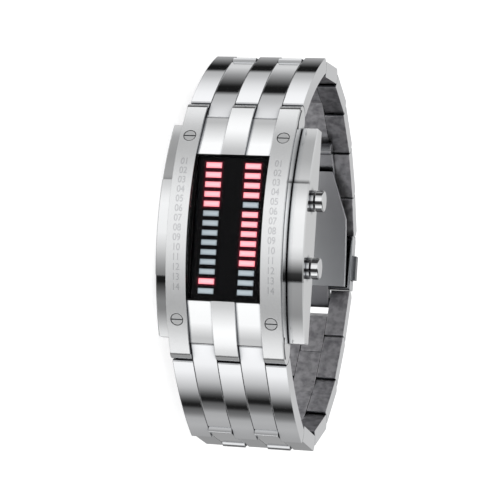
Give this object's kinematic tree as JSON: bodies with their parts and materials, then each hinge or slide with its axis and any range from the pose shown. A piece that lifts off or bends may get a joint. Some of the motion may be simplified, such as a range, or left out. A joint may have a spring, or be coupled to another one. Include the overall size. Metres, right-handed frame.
{
  "type": "wristwatch",
  "caption": "Wristwatch with two columns of light bars under a flat crystal, arched side rails, side push-buttons and a folding-clasp link bracelet.",
  "frame": {"origin": "centre of the flat nine o'clock side face that the watch lies on", "axes": "+X from twelve to six o'clock, +Y from the display to the wrist, +Z from nine to three o'clock"},
  "size_m": [0.0707, 0.0629, 0.028],
  "materials": {
    "black_gasket": "black gasket",
    "black_mask": "black gloss",
    "board_green": "printed circuit board",
    "cell_steel": "nickel plated",
    "chip_black": "moulded package",
    "holder_plastic": "moulded plastic",
    "led_lit": "lit red light bar, emissive",
    "led_unlit": "unlit pale diffuser",
    "mineral_glass": "clear mineral glass",
    "spring_steel": "spring steel",
    "steel_back": "brushed stainless steel",
    "steel_brushed": "brushed stainless steel",
    "steel_button": "polished stainless steel",
    "steel_clasp": "stamped stainless steel",
    "steel_pin": "ground stainless steel",
    "steel_polished": "mirror polished stainless steel",
    "steel_satin": "satin stainless steel",
    "steel_screw": "polished stainless steel"
  },
  "bodies": {
    "head": {"battery_clip": "spring_steel", "board_chips": "chip_black", "case_back": "steel_back", "case_back_screws": "steel_screw", "case_middle": "steel_satin", "centre_bar_12": "steel_satin", "centre_bar_6": "steel_satin", "circuit_board": "board_green", "coin_cell": "cell_steel", "crystal": "mineral_glass", "crystal_gasket": "black_gasket", "display_mask": "black_mask", "leds_lit": "led_lit", "leds_unlit": "led_unlit", "movement_holder": "holder_plastic", "pusher_spring_lower": "spring_steel", "pusher_spring_upper": "spring_steel", "pusher_tubes": "steel_button", "rail_left": "steel_brushed", "rail_right": "steel_brushed", "rail_screws": "steel_screw", "wing_left": "steel_brushed", "wing_right": "steel_brushed"},
    "pusher_upper": {"pusher_upper": "steel_button"},
    "pusher_lower": {"pusher_lower": "steel_button"},
    "link_12_1": {"link_12_1_bars": "steel_polished", "link_12_1_pins": "steel_pin"},
    "link_12_2": {"link_12_2_bars": "steel_polished", "link_12_2_pins": "steel_pin"},
    "link_12_3": {"link_12_3_bars": "steel_polished", "link_12_3_pins": "steel_pin"},
    "link_12_4": {"link_12_4_bars": "steel_polished", "link_12_4_pins": "steel_pin"},
    "link_12_5": {"link_12_5_bars": "steel_polished", "link_12_5_pins": "steel_pin"},
    "link_12_6": {"link_12_6_bars": "steel_polished", "link_12_6_pins": "steel_pin"},
    "link_6_1": {"link_6_1_bars": "steel_polished", "link_6_1_pins": "steel_pin"},
    "link_6_2": {"link_6_2_bars": "steel_polished", "link_6_2_pins": "steel_pin"},
    "link_6_3": {"link_6_3_bars": "steel_polished", "link_6_3_pins": "steel_pin"},
    "link_6_4": {"link_6_4_bars": "steel_polished", "link_6_4_pins": "steel_pin"},
    "link_6_5": {"link_6_5_bars": "steel_polished", "link_6_5_pins": "steel_pin"},
    "link_6_6": {"link_6_6_bars": "steel_polished", "link_6_6_pins": "steel_pin"},
    "clasp": {"clasp_arm": "steel_clasp", "clasp_cover": "steel_satin", "clasp_cover_pin": "steel_pin", "clasp_knuckle_pin": "steel_pin", "clasp_button_spring_left": "spring_steel", "clasp_button_spring_right": "spring_steel"},
    "clasp_blade": {"clasp_blade": "steel_clasp", "spring_bar": "steel_pin", "catch_post": "steel_pin"},
    "clasp_button_left": {"clasp_button_left": "steel_button"},
    "clasp_button_right": {"clasp_button_right": "steel_button"}
  },
  "joints": [
    {"name": "link_12_1_hinge", "type": "hinge", "parent": "head", "child": "link_12_1", "pos_m": [-0.0199, -0.00037, 0.0129], "axis": [0, 0, 1], "range_deg": [0, 34]},
    {"name": "link_12_2_hinge", "type": "hinge", "parent": "link_12_1", "child": "link_12_2", "pos_m": [-0.03168, 0.01413, 0.0129], "axis": [0, 0, 1], "range_deg": [0, 27.6]},
    {"name": "link_12_3_hinge", "type": "hinge", "parent": "link_12_2", "child": "link_12_3", "pos_m": [-0.03238, 0.0241, 0.0129], "axis": [0, 0, 1], "range_deg": [0, 29]},
    {"name": "link_12_4_hinge", "type": "hinge", "parent": "link_12_3", "child": "link_12_4", "pos_m": [-0.02896, 0.0335, 0.0129], "axis": [0, 0, 1], "range_deg": [0, 23]},
    {"name": "link_12_5_hinge", "type": "hinge", "parent": "link_12_4", "child": "link_12_5", "pos_m": [-0.0228, 0.04138, 0.0129], "axis": [0, 0, 1], "range_deg": [0, 18]},
    {"name": "link_12_6_hinge", "type": "hinge", "parent": "link_12_5", "child": "link_12_6", "pos_m": [-0.01503, 0.04767, 0.0129], "axis": [0, 0, 1], "range_deg": [0, 15]},
    {"name": "link_6_1_hinge", "type": "hinge", "parent": "head", "child": "link_6_1", "pos_m": [0.0199, -0.00037, 0.0129], "axis": [0, 0, -1], "range_deg": [0, 34]},
    {"name": "link_6_2_hinge", "type": "hinge", "parent": "link_6_1", "child": "link_6_2", "pos_m": [0.033, 0.01473, 0.0129], "axis": [0, 0, -1], "range_deg": [0, 25.8]},
    {"name": "link_6_3_hinge", "type": "hinge", "parent": "link_6_2", "child": "link_6_3", "pos_m": [0.03465, 0.02459, 0.0129], "axis": [0, 0, -1], "range_deg": [0, 34]},
    {"name": "link_6_4_hinge", "type": "hinge", "parent": "link_6_3", "child": "link_6_4", "pos_m": [0.03132, 0.03402, 0.0129], "axis": [0, 0, -1], "range_deg": [0, 26]},
    {"name": "link_6_5_hinge", "type": "hinge", "parent": "link_6_4", "child": "link_6_5", "pos_m": [0.02482, 0.04162, 0.0129], "axis": [0, 0, -1], "range_deg": [0, 22]},
    {"name": "link_6_6_hinge", "type": "hinge", "parent": "link_6_5", "child": "link_6_6", "pos_m": [0.01639, 0.04699, 0.0129], "axis": [0, 0, -1], "range_deg": [0, 15]},
    {"name": "clasp_cover_hinge", "type": "hinge", "parent": "link_12_6", "child": "clasp", "pos_m": [-0.00786, 0.05165, 0.0129], "axis": [0, 0, 1], "range_deg": [0, 34]},
    {"name": "clasp_blade_hinge", "type": "hinge", "parent": "clasp", "child": "clasp_blade", "pos_m": [-0.021, 0.0392, 0.0129], "axis": [0, 0, -1], "range_deg": [0, 95]},
    {"name": "clasp_button_left_press", "type": "slide", "parent": "clasp", "child": "clasp_button_left", "axis": [0, 0, 1], "range_m": [0, 0.00045], "stiffness_N_per_m": 300, "deforming": ["clasp_button_spring_left"]},
    {"name": "clasp_button_right_press", "type": "slide", "parent": "clasp", "child": "clasp_button_right", "axis": [0, 0, -1], "range_m": [0, 0.00045], "stiffness_N_per_m": 300, "deforming": ["clasp_button_spring_right"]},
    {"name": "pusher_upper_press", "type": "slide", "parent": "head", "child": "pusher_upper", "axis": [0, 0, -1], "range_m": [0, 0.0003], "stiffness_N_per_m": 300, "deforming": ["pusher_spring_upper"]},
    {"name": "pusher_lower_press", "type": "slide", "parent": "head", "child": "pusher_lower", "axis": [0, 0, -1], "range_m": [0, 0.0003], "stiffness_N_per_m": 300, "deforming": ["pusher_spring_lower"]}
  ]
}
